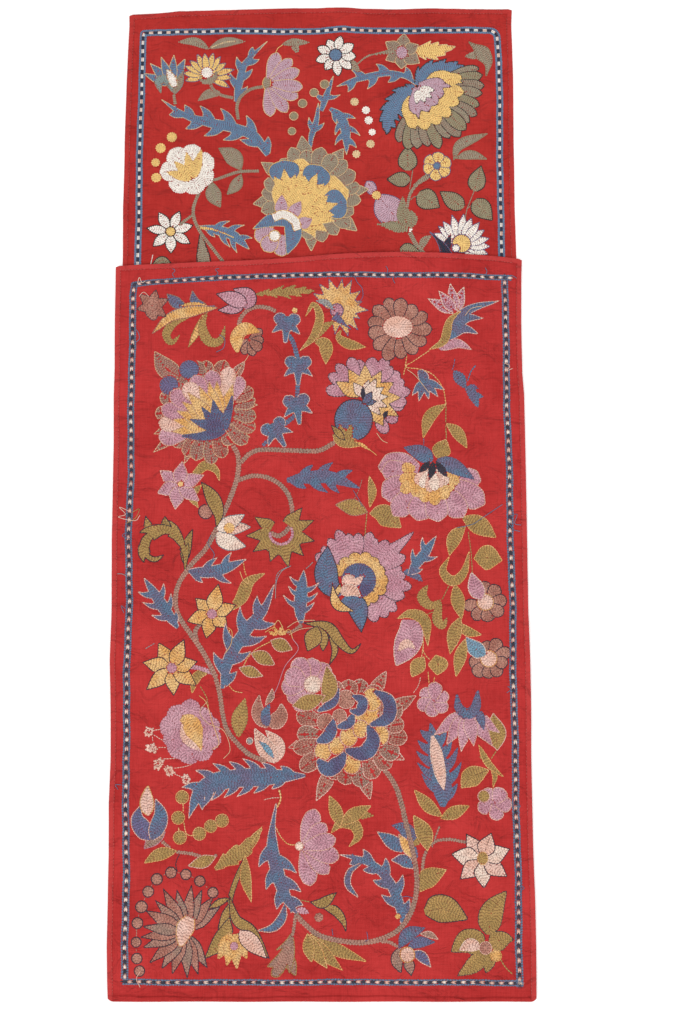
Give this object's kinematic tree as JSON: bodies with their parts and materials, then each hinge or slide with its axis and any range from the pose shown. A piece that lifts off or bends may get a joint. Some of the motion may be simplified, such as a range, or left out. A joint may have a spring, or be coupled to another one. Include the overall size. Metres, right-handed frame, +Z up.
{
  "type": "folded suzani embroidered textile",
  "caption": "Long hemmed red cotton panel with silk flower embroidery, folded over once so that its face and its reverse both show.",
  "frame": {"origin": "middle of the cloth's footprint, on the surface it lies on", "axes": "+Y along the cloth's length, away from the fold, towards both free ends; +X across it; +Z up through the layers"},
  "size_m": [0.4597, 1.1118, 0.0052],
  "materials": {
    "red_cotton": "plain hand-woven cotton, matt",
    "silk_thread": "floss silk in chain stitch, soft sheen"
  },
  "bodies": {
    "root": {"folded_cloth": "red_cotton"}
  },
  "joints": []
}
